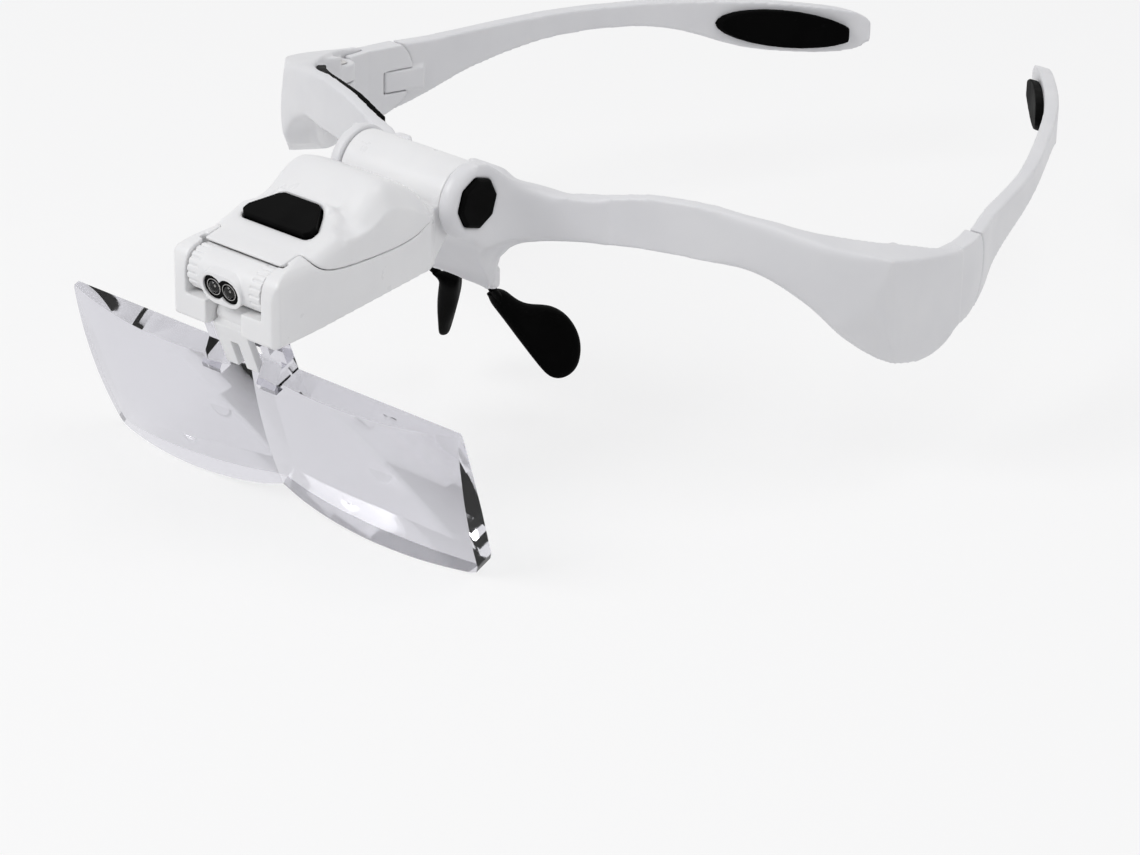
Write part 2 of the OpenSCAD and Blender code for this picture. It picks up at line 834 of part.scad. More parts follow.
// Switch under the rear of the button, on a narrow board in the valley between the cells
button_low = -2;
switch_v = 1.9;
switch_w = 4;
switch_h = 0.9;
switch_top = button_low - button_travel - 0.05;
board_w = 5;
board_len = 9.4;
board_t = 0.5;
board_top = switch_top - switch_h;

module board_posts() {
    on_slope()
        for (side = [-1, 1])
            translate([side * (board_w / 2 - 1), switch_v + board_len - 1.8, board_top])
                cylinder(r = 0.9, h = 12, $fn = 24);
}

module switch_body() {
    color("dimgray")
        on_slope()
            translate([-switch_w / 2, switch_v, board_top])
                cube([switch_w, 2.6, switch_h]);
}

module switch_board() {
    color("seagreen")
        on_slope()
            translate([-board_w / 2, switch_v - 0.3, board_top - board_t])
                cube([board_w, board_len, board_t]);
}

module cell(side) {
    cell_place(side)
        rotate([90, 0, 0]) {
            translate([0, 0, 0.7])
                cylinder(d = cell_d, h = cell_len - 1.1);
            translate([0, 0, side > 0 ? cell_len - 0.4 : 0.3])
                cylinder(d = 0.36 * cell_d, h = 0.4);
        }
}

module cell_left() {
    color("dodgerblue")
        cell(1);
}

module cell_right() {
    color("dodgerblue")
        cell(-1);
}

// Spring steel contacts at the two ends of the cells
module contact_front() {
    color("silver")
        translate([-bay_x + 0.4, bay_front, floor_front + shell_t + 1.6])
            cube([2 * bay_x - 0.8, 0.3, 9]);
}

module contact_rear() {
    color("silver")
        both_sides()
            translate([1, bay_rear - 0.3, floor_rear + shell_t + 1.2])
                cube([bay_x - 1.6, 0.3, 9]);
}

// Lamp head with ribbed ends and a rimmed window
stub_r = 1.6;
stub_len = 1.2;
head_turn = 9.5;
rim_r = 3.3;
window_r = 2.5;
rim_out = head_r + 0.7;

module in_head() {
    translate([0, head_y, head_z])
        rotate([head_turn, 0, 0])
            children();
}

module figure_eight(r, depth) {
    for (side = [-1, 1])
        translate([side * led_gap / 2, 0, 0])
            rotate([90, 0, 0])
                cylinder(r = r, h = depth);
}

module led_head() {
    color("white")
        in_head()
            difference() {
                union() {
                    rod_x(head_r, -head_end, head_end);
                    rod_x(stub_r, -head_end - stub_len, head_end + stub_len);
                    intersection() {
                        figure_eight(rim_r, rim_out);
                        translate([-10, -rim_out, -10])
                            cube([20, rim_out, 20]);
                    }
                    translate([-led_gap / 2, -rim_out, -rim_r])
                        cube([led_gap, rim_out, 2 * rim_r]);
                }
                translate([0, -head_r + 0.2, 0])
                    figure_eight(window_r, 6);
                translate([-4.6, -head_r + 1.6, -2.6])
                    cube([9.2, head_r + 1, 5.2]);
                translate([0, -head_r + 1.8, 0])
                    figure_eight(led_d / 2 + 0.3, 3);
                head_ribs();
            }
}

module head_ribs() {
    for (a = [0:20:340], side = [-1, 1])
        rotate([a, 0, 0])
            translate([0, 0, head_r + 0.1])
                rod_x(0.35, side > 0 ? head_end - 2.6 : -head_end - 1,
                      side > 0 ? head_end + 1 : -head_end + 2.6, 16);
}

module led_bezel() {
    color("black")
        in_head()
            difference() {
                translate([0, -head_r + 0.2, 0])
                    intersection() {
                        figure_eight(window_r - 0.05, 0.5);
                        translate([-10, -0.5, -10])
                            cube([20, 0.5, 20]);
                    }
                translate([0, -head_r + 1, 0])
                    figure_eight(led_d / 2 + 0.05, 3);
            }
}

module led(side) {
    in_head()
        translate([side * led_gap / 2, 0, 0]) {
            translate([0, -head_r + 1.8, 0])
                rotate([90, 0, 0])
                    cylinder(d = led_d, h = 2);
            translate([0, -head_r - 0.2, 0])
                sphere(d = led_d, $fn = 24);
            translate([0, -head_r + 2.2, 0])
                rotate([90, 0, 0])
                    cylinder(d = led_d + 0.5, h = 0.6);
        }
}

module led_left() {
    color("lightyellow")
        led(1);
}

module led_right() {
    color("lightyellow")
        led(-1);
}

module led_board() {
    color("seagreen")
        in_head()
            translate([-4.4, -head_r + 2.2, -2.4])
                cube([8.8, 0.8, 4.8]);
}

// Lens plate in its own frame: x across, y up the plate, z out of its flat back
lens_top = [0, -61.1, -0.4];
module in_lens() {
    translate(lens_top)
        rotate([90 + lens_tilt, 0, 0])
            children();
}

function lens_to_world(u, w) = [
    0,
    lens_top[1] - u * sin(lens_tilt) - w * cos(lens_tilt),
    lens_top[2] + u * cos(lens_tilt) - w * sin(lens_tilt)
];

loop_h = 8.6;
loop_x = clip_x + 0.5 + loop_t;
loop_depth = 3.2;
clip_pin_r = 0.9;
clip_pin_x = arm_x - 1.6;
clip_knuckle = 2;
clip_u = loop_h + 2.4;
clip_w_at = loop_depth / 2;
clip_pivot = lens_to_world(clip_u, clip_w_at);

// The thickest place of a lobe, as a share of the plate's height from its upper edge
lobe_drop = 0.69;
// Outline of the left half, as shares of half the width and of the height
lens_half = [
    [0, 0], [0.994, 0], [1, -0.02], [0.99, -0.3], [0.975, -0.6], [0.95, -0.95], [0.935, -1],
    [0.9, -1.01], [0.7, -1], [0.45, -0.975], [0.25, -0.945], [0.1, -0.91], [0, -0.87]
];

module lens_plate() {
    color("lightsteelblue")
        in_lens() {
            intersection() {
                linear_extrude(height = lens_t + 1)
                    polygon(concat(
                        [for (q = lens_half) [q[0] * lens_w / 2, q[1] * lens_h]],
                        [for (q = reversed(lens_half)) [-q[0] * lens_w / 2, q[1] * lens_h]]
                    ));
                union()
                    for (side = [-1, 1])
                        translate([side * lobe_x, -lobe_drop * lens_h, lens_t - lobe_r])
                            sphere(r = lobe_r, $fn = 96);
            }
            lens_loop();
        }
}

module lens_loop() {
    difference() {
        translate([-loop_x, -1, 0])
            cube([2 * loop_x, loop_h + 1, loop_depth]);
        translate([-loop_x + loop_t, 0, -1])
            cube([2 * (loop_x - loop_t), loop_h - 2.4, loop_depth + 2]);
    }
    for (side = [-1, 1])
        translate([side * (loop_x - loop_t / 2), 0, 0])
            rotate([90, 0, 90])
                linear_extrude(height = loop_t, center = true)
                    polygon([
                        [-1, 0], [4, 0], [3.6, loop_depth], [0, loop_depth + 3.6], [-1, loop_depth + 3.6]
                    ]);
}

module lens_bracket() {
    color("whitesmoke")
        in_lens()
            difference() {
                union() {
                    translate([-clip_x, 0.9, loop_depth + gap])
                        cube([clip_w, loop_h + 1, 1.5]);
                    translate([-clip_x, 2.4, -gap - 1.4])
                        cube([clip_w, loop_h - 0.5, 1.4]);
                    translate([-clip_x, loop_h + gap, -gap - 1.4])
                        cube([clip_w, 1.8, loop_depth + 2 * gap + 2.9]);
                    translate([0, clip_u, clip_w_at])
                        rod_x(clip_knuckle, -clip_x, clip_x);
                }
                translate([0, clip_u, clip_w_at])
                    rod_x(clip_pin_r + fit, -clip_w, clip_w);
                translate([-1, -1, loop_depth])
                    cube([2, 8, 4]);
                translate([-clip_w, loop_h - 4, -gap])
                    cube([2 * clip_w, 4 + gap, loop_depth + 2 * gap]);
            }
}

module bracket_pin() {
    color("silver")
        translate([0, clip_pivot[1], clip_pivot[2]])
            rod_x(clip_pin_r, -clip_pin_x, clip_pin_x);
}

// Temples, along their outer face from the corner to the tip
temple_shape = [
    [0, 0], [0.018, 0.053], [0.06, 0.118], [0.108, 0.182], [0.216, 0.37], [0.377, 0.547],
    [0.582, 0.729], [0.841, 0.906], [1, 1]
];
temple_y0 = frame_end + gap;
temple_path = smooth([
    for (q = temple_shape) [temple_x - q[0] * temple_in, temple_y0 + q[1] * temple_len]
], 4);
temple_upper = smooth([
    [-0.07, 10.4], [-0.03, 10.2], [0.03, 9.9], [0.09, 9.8], [0.17, 9.8], [0.31, 10], [0.435, 10.2],
    [0.57, 10], [0.7, 9], [0.8, 7.9], [0.87, 6.7], [0.93, 5.4], [0.962, 4.2], [0.982, 2.2], [0.99, -0.2]
], 3);
temple_lower = smooth([
    [0.985, -2.4], [0.965, -4.1], [0.935, -5], [0.875, -4.8], [0.775, -2.8], [0.665, 2.3], [0.57, 4.6],
    [0.435, 4.8], [0.31, 2.9], [0.2, 0.2], [0.105, -3.9], [0.035, -5.7], [-0.02, -6.3], [-0.07, -5.4]
], 3);

module temple_side() {
    along_x(400)
        polygon([
            for (q = concat(temple_upper, temple_lower)) [temple_y0 + q[0] * temple_len, q[1]]
        ]);
}

// The root ends in an arc, and the arm starts at the same arc with a fine seam
seam_r = 9.4;
seam_centre = [temple_y0 + 1.6, 3.4];
seam_gap = gap;
module seam_disc(r) {
    translate([0, seam_centre[0], seam_centre[1]]) {
        rod_x(r, 0, 2 * half_w);
        translate([0, -30, -30])
            cube([2 * half_w, 30, 60]);
    }
}

module temple_band(thick) {
    intersection() {
        translate([0, 0, -40])
            linear_extrude(height = 100)
                polygon(ribbon(temple_path, 0, thick));
        temple_side();
    }
}

seam_at = seam_centre[0] + seam_r;
tongue_turn = 20;
tongue_start = [temple_x - 4.2 - root_t / 2, seam_at];
module on_tongue() {
    translate([tongue_start[0], tongue_start[1], 1.6])
        rotate([0, 0, tongue_turn])
            children();
}

tongue_t = 1.2;
tongue_h = 5;
module tongue(grow, extra) {
    on_tongue()
        translate([-tongue_t / 2 - grow, -tongue_len - extra, -tongue_h / 2 - grow])
            cube([tongue_t + 2 * grow, tongue_len + extra + 3, tongue_h + 2 * grow]);
}

module temple_root() {
    difference() {
        union() {
            intersection() {
                union() {
                    temple_band(root_t);
                    intersection() {
                        translate([hinge_x + strip_in, hinge_y + strip_y, -30])
                            cube([strip_out - strip_in, frame_end - hinge_y, 60]);
                        temple_side();
                    }
                }
                seam_disc(seam_r);
            }
            translate([hinge_x, hinge_y, knuckle_z[0]]) {
                cylinder(r = knuckle_r, h = knuckle_z[1] - knuckle_z[0]);
                translate([strip_in, 0, 0])
                    cube([strip_out - strip_in, strip_y + 1, knuckle_z[1] - knuckle_z[0]]);
            }
        }
        translate([hinge_x, hinge_y, knuckle_z[0] - 1])
            cylinder(r = hinge_d / 2 + fit, h = knuckle_z[1] - knuckle_z[0] + 2);
        tongue(0.15, 0.4);
    }
}

module temple_root_left() {
    color("lightgray")
        temple_root();
}

module temple_root_right() {
    color("lightgray")
        mirror([1, 0, 0])
            temple_root();
}

module temple_arm() {
    difference() {
        temple_band(temple_t);
        seam_disc(seam_r + seam_gap);
    }
    tongue(0, 0);
}

module temple_arm_left() {
    color("lightgray")
        temple_arm();
}

module temple_arm_right() {
    color("lightgray")
        mirror([1, 0, 0])
            temple_arm();
}

module hinge_pin() {
    translate([hinge_x, hinge_y, lug_low[0]])
        cylinder(d = hinge_d, h = lug_top[1] - lug_low[0]);
}

module hinge_pin_left() {
    color("silver")
        hinge_pin();
}

module hinge_pin_right() {
    color("silver")
        mirror([1, 0, 0])
            hinge_pin();
}

// Soft pads inside the temple tips
ear_pad_span = [temple_y0 + 0.72 * temple_len, temple_y0 + 0.945 * temple_len];
// Oval along a sloping middle line, from its front end to its rear end
ear_pad_h = 4.4;
ear_pad_mid = [3.6, -0.6];
ear_pad_shape = [
    for (a = [0:15:345])
        let(t = (1 - cos(a)) / 2)
            [t, (1 - t) * ear_pad_mid[0] + t * ear_pad_mid[1] + ear_pad_h * sin(a)]
];

module ear_pad() {
    intersection() {
        translate([0, 0, -40])
            linear_extrude(height = 100)
                polygon(ribbon(between(temple_path, ear_pad_span[0] - 6, ear_pad_span[1] + 3),
                               temple_t, temple_t + ear_pad_t));
        along_x(400)
            polygon([
                for (q = ear_pad_shape)
                    [ear_pad_span[0] + q[0] * (ear_pad_span[1] - ear_pad_span[0]), q[1]]
            ]);
    }
}

module ear_pad_left() {
    color("black")
        ear_pad();
}

module ear_pad_right() {
    color("black")
        mirror([1, 0, 0])
            ear_pad();
}

front_frame();
brow_pad_left();
brow_pad_right();
nose_pad_left();
nose_pad_right();
pivot_bolt();
pivot_cap_left();
pivot_cap_right();
arm_tray();
battery_cover();
power_button();
switch_body();
switch_board();
cell_left();
cell_right();
contact_front();
contact_rear();
led_head();
led_bezel();
led_left();
led_right();
led_board();
lens_bracket();
bracket_pin();
lens_plate();
temple_root_left();
temple_root_right();
hinge_pin_left();
hinge_pin_right();
temple_arm_left();
temple_arm_right();
ear_pad_left();
ear_pad_right();
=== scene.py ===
import json
import math

import bmesh
import bpy
from mathutils import Matrix, Vector
from mathutils.bvhtree import BVHTree


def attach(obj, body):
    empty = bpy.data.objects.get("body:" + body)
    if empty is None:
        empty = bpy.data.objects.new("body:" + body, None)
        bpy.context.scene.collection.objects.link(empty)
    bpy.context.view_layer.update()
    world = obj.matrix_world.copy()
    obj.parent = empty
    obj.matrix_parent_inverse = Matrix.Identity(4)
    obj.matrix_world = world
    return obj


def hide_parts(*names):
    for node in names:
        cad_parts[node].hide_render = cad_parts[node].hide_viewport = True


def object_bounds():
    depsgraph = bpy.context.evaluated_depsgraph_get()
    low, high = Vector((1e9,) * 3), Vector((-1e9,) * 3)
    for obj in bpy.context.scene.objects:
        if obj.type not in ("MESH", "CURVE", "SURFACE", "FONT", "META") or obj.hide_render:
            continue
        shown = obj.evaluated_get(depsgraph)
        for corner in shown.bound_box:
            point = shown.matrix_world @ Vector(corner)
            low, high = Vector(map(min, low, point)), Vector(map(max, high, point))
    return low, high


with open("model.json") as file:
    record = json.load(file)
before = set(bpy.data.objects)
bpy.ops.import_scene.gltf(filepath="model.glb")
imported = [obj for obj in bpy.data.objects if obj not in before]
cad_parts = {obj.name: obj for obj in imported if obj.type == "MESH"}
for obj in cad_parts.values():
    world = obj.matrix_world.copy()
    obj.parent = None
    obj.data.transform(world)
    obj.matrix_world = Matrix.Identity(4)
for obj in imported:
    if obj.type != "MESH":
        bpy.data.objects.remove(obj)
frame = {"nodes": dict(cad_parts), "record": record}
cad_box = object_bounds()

MM = 0.001
SIDES = (("left", 1), ("right", -1))
scene = bpy.context.scene

# Materials
# The part of a noise's range that is spread out
NOISE_LOW = 0.3
NOISE_HIGH = 0.7
# Sizes of the slow drift of colour, the patches of gloss and the ripple of a moulded surface
DRIFT_SIZE = 14 * MM
PATCH_SIZE = 5 * MM
RIPPLE_SIZE = 9 * MM
RIPPLE_STRENGTH = 0.12
RIPPLE_DEPTH = 0.12 * MM
GRAIN_STRENGTH = 0.35
# Mean free paths of light in white plastic
SCATTER = (1.2 * MM, 1.1 * MM, 1.0 * MM)
# Drawn lines of a metal pin or spring
DRAWN_SIZE = 0.3 * MM
DRAWN_STRETCH = (0.05, 1, 1)
DRAWN_STRENGTH = 0.25
DRAWN_DEPTH = 0.01 * MM
DRAWN_SMOOTHER = 0.08
DRAWN_ROUGHER = 0.1
STAIN_SIZE = 3 * MM
STAIN_SHARE = 0.82
# Tint, scuffs and ripple of clear plastic
TINT_SIZE = 20 * MM
TINT_SHARE = 1.03
SCUFF_SIZE = 2 * MM
SCUFF_SMOOTHER = 0.02
SCUFF_ROUGHER = 0.03
CLEAR_RIPPLE_SIZE = 12 * MM
CLEAR_RIPPLE_STRENGTH = 0.05
CLEAR_RIPPLE_DEPTH = 0.05 * MM


def socket(material, kind, **inputs):
    """A node of that kind in the material, with its inputs set by name."""
    node = material.node_tree.nodes.new(kind)
    for name, value in inputs.items():
        node.inputs[name.replace("_", " ")].default_value = value
    return node


def grain(material, size, detail=2.0, stretch=(1, 1, 1)):
    """Noise with features of the given size in metres, in the object's own coordinates."""
    tree = material.node_tree
    where = tree.nodes.new("ShaderNodeTexCoord")
    scaled = tree.nodes.new("ShaderNodeMapping")
    scaled.inputs["Scale"].default_value = stretch
    noise = tree.nodes.new("ShaderNodeTexNoise")
    noise.inputs["Scale"].default_value = 1 / size
    noise.inputs["Detail"].default_value = detail
    tree.links.new(where.outputs["Object"], scaled.inputs["Vector"])
    tree.links.new(scaled.outputs["Vector"], noise.inputs["Vector"])
    return noise.outputs["Fac"]


def ramp(material, fac, low, high):
    """Noise spread from low to high."""
    node = socket(
        material, "ShaderNodeMapRange", From_Min=NOISE_LOW, From_Max=NOISE_HIGH, To_Min=low, To_Max=high,
    )
    material.node_tree.links.new(fac, node.inputs["Value"])
    return node.outputs["Result"]


def tinted(material, fac, one, two):
    """Colour that drifts from one to two with the noise."""
    node = material.node_tree.nodes.new("ShaderNodeMix")
    node.data_type = "RGBA"
    node.inputs["A"].default_value = (*one, 1)
    node.inputs["B"].default_value = (*two, 1)
    material.node_tree.links.new(ramp(material, fac, 0, 1), node.inputs["Factor"])
    return node.outputs["Result"]


def bumped(material, shader, layers):
    """Bumps the shader's normal by layers of (noise, strength, depth in metres)."""
    last = None
    for fac, strength, depth in layers:
        bump = socket(material, "ShaderNodeBump", Strength=strength, Distance=depth)
        material.node_tree.links.new(fac, bump.inputs["Height"])
        if last:
            material.node_tree.links.new(last, bump.inputs["Normal"])
        last = bump.outputs["Normal"]
    material.node_tree.links.new(last, shader.inputs["Normal"])


def new_material(name):
    material = bpy.data.materials.new(name)
    material.use_nodes = True
    return material, material.node_tree.nodes["Principled BSDF"]


def moulded(name, one, two, rough, spread, grain_size, depth, subsurface=0.0, specular=0.45):
    """Moulded plastic or rubber: slow drift of colour, patchy gloss, fine grain and a ripple."""
    material, shader = new_material(name)
    links = material.node_tree.links
    links.new(tinted(material, grain(material, DRIFT_SIZE, 3), one, two), shader.inputs["Base Color"])
    gloss = ramp(material, grain(material, PATCH_SIZE, 4), rough - spread, rough + spread)
    links.new(gloss, shader.inputs["Roughness"])
    shader.inputs["Specular IOR Level"].default_value = specular
    if subsurface:
        shader.inputs["Subsurface Weight"].default_value = subsurface
        shader.inputs["Subsurface Radius"].default_value = SCATTER
        shader.inputs["Subsurface Scale"].default_value = 1
    bumped(material, shader, [
        (grain(material, RIPPLE_SIZE, 1), RIPPLE_STRENGTH, RIPPLE_DEPTH),
        (grain(material, grain_size, 2), GRAIN_STRENGTH, depth),
    ])
    return material


def metal(name, colour, rough):
    """Drawn metal with fine lines along X."""
    material, shader = new_material(name)
    links = material.node_tree.links
    dark = [c * STAIN_SHARE for c in colour]
    links.new(tinted(material, grain(material, STAIN_SIZE, 3), colour, dark), shader.inputs["Base Color"])
    shader.inputs["Metallic"].default_value = 1
    lines = grain(material, DRAWN_SIZE, 2, DRAWN_STRETCH)
    gloss = ramp(material, lines, rough - DRAWN_SMOOTHER, rough + DRAWN_ROUGHER)
    links.new(gloss, shader.inputs["Roughness"])
    bumped(material, shader, [(lines, DRAWN_STRENGTH, DRAWN_DEPTH)])
    return material


def clear(name, colour, rough, ior):
    """Clear plastic with a faint ripple and fine scuffs."""
    material, shader = new_material(name)
    links = material.node_tree.links
    paler = [min(1, c * TINT_SHARE) for c in colour]
    links.new(tinted(material, grain(material, TINT_SIZE, 2), colour, paler), shader.inputs["Base Color"])
    shader.inputs["Transmission Weight"].default_value = 1
    shader.inputs["IOR"].default_value = ior
    smoothest = max(rough - SCUFF_SMOOTHER, 0)
    scuffs = ramp(material, grain(material, SCUFF_SIZE, 5), smoothest, rough + SCUFF_ROUGHER)
    links.new(scuffs, shader.inputs["Roughness"])
    ripple = grain(material, CLEAR_RIPPLE_SIZE, 1)
    bumped(material, shader, [(ripple, CLEAR_RIPPLE_STRENGTH, CLEAR_RIPPLE_DEPTH)])
    return material


SLOTS = {
    "frame_white": moulded(
        "frame_white", (0.72, 0.72, 0.735), (0.76, 0.76, 0.77), rough=0.38, spread=0.06,
        grain_size=0.5 * MM, depth=0.012 * MM, subsurface=0.08,
    ),
    "housing_white": moulded(
        "housing_white", (0.80, 0.80, 0.805), (0.84, 0.84, 0.84), rough=0.33, spread=0.06,
        grain_size=0.5 * MM, depth=0.012 * MM, subsurface=0.08,
    ),
    "pad_black": moulded(
        "pad_black", (0.0012, 0.0012, 0.0012), (0.0025, 0.0025, 0.0025), rough=0.6, spread=0.07,
        grain_size=0.25 * MM, depth=0.03 * MM, specular=0.02,
    ),
    "trim_black": moulded(
        "trim_black", (0.0015, 0.0015, 0.0015), (0.003, 0.003, 0.003), rough=0.45, spread=0.08,
        grain_size=0.3 * MM, depth=0.02 * MM, specular=0.025,
    ),
    "switch_grey": moulded(
        "switch_grey", (0.05, 0.05, 0.052), (0.08, 0.08, 0.082), rough=0.5, spread=0.06,
        grain_size=0.3 * MM, depth=0.02 * MM,
    ),
    "board_green": moulded(
        "board_green", (0.02, 0.13, 0.06), (0.03, 0.17, 0.08), rough=0.4, spread=0.08,
        grain_size=0.4 * MM, depth=0.02 * MM,
    ),
    "cell_sleeve": moulded(
        "cell_sleeve", (0.05, 0.12, 0.28), (0.07, 0.15, 0.33), rough=0.3, spread=0.08,
        grain_size=0.4 * MM, depth=0.01 * MM,
    ),
    "steel": metal("steel", (0.62, 0.61, 0.6), rough=0.28),
    "led_resin": clear("led_resin", (0.5, 0.5, 0.49), rough=0.03, ior=1.4),
    "lens_acrylic": clear("lens_acrylic", (0.71, 0.705, 0.75), rough=0.015, ior=1.29),
}
slot_of = {part["node"]: part["material_slot"] for part in frame["record"]["subparts"]}
body_of = {
    node: body
    for body, members in frame["record"]["behaviour"]["bodies"].items()
    for node in members
}


def paint(piece, material):
    piece.data.materials.clear()
    piece.data.materials.append(material)


for name, node in frame["nodes"].items():
    paint(node, SLOTS[slot_of[name]])

# Making pieces
WELD = 0.002 * MM
SMOOTHING = 0.5
ZONE_PASSES = 120
FACES_KEPT = 0.3
TURNED_STEPS = 40
TURNED_EDGE = 35


def link(piece, body, slot_name):
    """Attaches a finished piece to its body and paints it with the material of that slot."""
    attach(piece, body)
    paint(piece, SLOTS[slot_name])
    return piece


def new_piece(name, mesh):
    piece = bpy.data.objects.new(name, mesh)
    scene.collection.objects.link(piece)
    return piece


def applied(piece):
    """Applies the piece's modifiers to its mesh."""
    graph = bpy.context.evaluated_depsgraph_get()
    mesh = bpy.data.meshes.new_from_object(piece.evaluated_get(graph))
    piece.modifiers.clear()
    piece.data = mesh
    return piece


def edited(mesh, change):
    """Runs a change on the mesh in its editable form."""
    shape = bmesh.new()
    shape.from_mesh(mesh)
    change(shape)
    shape.to_mesh(mesh)
    shape.free()


def shade_smooth(mesh, edge=None):
    """Shades the mesh smooth, apart from edges sharper than the given angle in degrees."""
    for face in mesh.polygons:
        face.use_smooth = True
    if edge:
        mesh.set_sharp_from_angle(angle=math.radians(edge))


def node_copy(name, node):
    """New object with the node's welded mesh."""
    mesh = frame["nodes"][node].data.copy()
    edited(mesh, lambda shape: bmesh.ops.remove_doubles(shape, verts=shape.verts, dist=WELD))
    return new_piece(name, mesh)


def remeshed(piece, voxel):
    """The piece with an even mesh of that voxel size."""
    remesh = piece.modifiers.new("remesh", "REMESH")
    remesh.mode = "VOXEL"
    remesh.voxel_size = voxel
    return applied(piece)


def smoothed(piece, passes, kept=FACES_KEPT):
    """The piece smoothed and thinned out to a share of its faces."""
    smooth = piece.modifiers.new("smooth", "SMOOTH")
    smooth.factor = SMOOTHING
    smooth.iterations = passes
    thin = piece.modifiers.new("thin", "DECIMATE")
    thin.ratio = kept
    applied(piece)
    shade_smooth(piece.data)
    return piece


def smooth_further(piece, zone):
    """Smooths the piece where the zone says so, from 0 to 1, once its modifiers are applied."""
    group = piece.vertex_groups.new(name="zone")
    for vertex in piece.data.vertices:
        share = zone(vertex.co)
        if share > 0:
            group.add([vertex.index], share, "REPLACE")
    further = piece.modifiers.new("further", "SMOOTH")
    further.factor = SMOOTHING
    further.iterations = ZONE_PASSES
    further.vertex_group = group.name


def softened(name, node, voxel, passes, extra=None, moved=None, zone=None):
    """The node with rounded edges, as moulds give: remeshed, smoothed and thinned out again.

    extra adds closed shapes to the node's mesh first, moved gives each point its new place, and
    zone says where, from 0 to 1, the surface is smoothed further.
    """
    piece = node_copy(name, node)
    if extra:
        edited(piece.data, extra)
    remeshed(piece, voxel)
    if moved:
        for vertex in piece.data.vertices:
            vertex.co = moved(vertex.co)
    if zone:
        smooth_further(piece, zone)
    smoothed(piece, passes)
    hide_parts(node)
    return link(piece, body_of[node], slot_of[node])


def circle(shape, reach, radius):
    """Ring of points about the -Y axis, or the one point on it where the radius is 0."""
    if radius == 0:
        return [shape.verts.new((0, -reach * MM, 0))]
    turns = [2 * math.pi * i / TURNED_STEPS for i in range(TURNED_STEPS)]
    return [
        shape.verts.new((radius * MM * math.cos(turn), -reach * MM, radius * MM * math.sin(turn)))
        for turn in turns
    ]


def turned(name, profile, place, tilt, body, slot_name):
    """Solid turned about its own -Y axis from (reach, radius) points in millimetres.

    It stands at the place, tilted about X by so many degrees. Where the profile starts and ends
    off the axis, it is closed to a ring.
    """
    shape = bmesh.new()
    rings = [circle(shape, reach, radius) for reach, radius in profile]
    closing = rings[:1] if len(rings[0]) > 1 and len(rings[-1]) > 1 else []
    for one, two in zip(rings, rings[1:] + closing):
        for i in range(TURNED_STEPS):
            k = (i + 1) % TURNED_STEPS
            if len(one) == 1:
                corners = [one[0], two[i], two[k]]
            elif len(two) == 1:
                corners = [one[i], two[0], one[k]]
            else:
                corners = [one[i], two[i], two[k], one[k]]
            shape.faces.new(corners)
    bmesh.ops.recalc_face_normals(shape, faces=shape.faces)
    mesh = bpy.data.meshes.new(name)
    shape.to_mesh(mesh)
    shape.free()
    mesh.transform(Matrix.Translation(Vector(place)) @ Matrix.Rotation(math.radians(tilt), 4, "X"))
    shade_smooth(mesh, TURNED_EDGE)
    return link(new_piece(name, mesh), body, slot_name)


def step(value, low, high):
    """Smooth rise from 0 at low to 1 at high."""
    t = min(1, max(0, (value - low) / (high - low)))
    return t * t * (3 - 2 * t)


def within(value, start, full, still, end):
    """Smooth rise from start to full, and smooth fall from still to end."""
    return step(value, start, full) * (1 - step(value, still, end))


def between(points, at):
    """Value at a place on a line through (place, value) points."""
    for (a, one), (b, two) in zip(points, points[1:]):
        if at <= b:
            return one + (two - one) * max(0, (at - a) / (b - a))
    return points[-1][1]


def in_mm(point):
    return [v / MM for v in point]


# Front: a rounded corner under each ear, drawn-in hub walls and a band that sags beside the hub
FILLET_X = 19.0
FILLET_Z = 3.2
FILLET_R = 6.8
FILLET_TOP = 11.8
FILLET_TURN = 6
FILLET_FRONT = [(12, -10.8), (14, -9.6), (16, -7.9), (19, -5.6)]
FILLET_BACK = [(12, -8.8), (14, -7.6), (16, -6.2), (19, -3.6)]
WALL_X = (9, 11, 14, 18)
WALL_Z = (-6.5, -2.5, 6, 9)
WALL_Y = (-11, -6.4)
WALL_IN = 2.0
SAG_X = (17, 22, 26, 40)
SAG_FROM_Z = (5, 9)
SAG_LOW = 0.6
SAG_MORE = 0.5
SAG_MORE_Z = (10, 22)
# Where the front is smoothed further: under the ears, at the band's root and on the corners' bends
EAR_ZONE_X = (13.9, 14.6, 26, 32)
EAR_ZONE_Z = (0.5, 3, 13.5, 15.5)
ROOT_ZONE_X = (16, 18.5)
ROOT_ZONE_Y = (-11, -9)
ROOT_ZONE_Z = (14, 18)
ROOT_ZONE_END = (21, 25)
CORNER_ZONE_X = (50, 58)
CORNER_ZONE_END = (20, 26)
# How far the brow strips lie below the band's own sag, fitted to what the photograph shows of them
STRIP_DROP = {"left": 0.5, "right": 0.1}


def hub_fillets(shape):
    """A rounded corner under each ear, from the hub's side wall to the brow's lower edge."""
    for _, sign in SIDES:
        rows = []
        for turn in range(0, 91, FILLET_TURN):
            x = FILLET_X - FILLET_R * math.cos(math.radians(turn))
            z = FILLET_Z + FILLET_R * math.sin(math.radians(turn))
            front = between(FILLET_FRONT, x)
            back = between(FILLET_BACK, x)
            corners = ((front, z), (back, z), (back, FILLET_TOP), (front, FILLET_TOP))
            rows.append([shape.verts.new((sign * x * MM, y * MM, level * MM)) for y, level in corners])
        for one, two in zip(rows, rows[1:]):
            for i in range(4):
                shape.faces.new([one[i], two[i], two[(i + 1) % 4], one[(i + 1) % 4]])
        shape.faces.new(rows[0])
        shape.faces.new(rows[-1])
    bmesh.ops.recalc_face_normals(shape, faces=shape.faces)


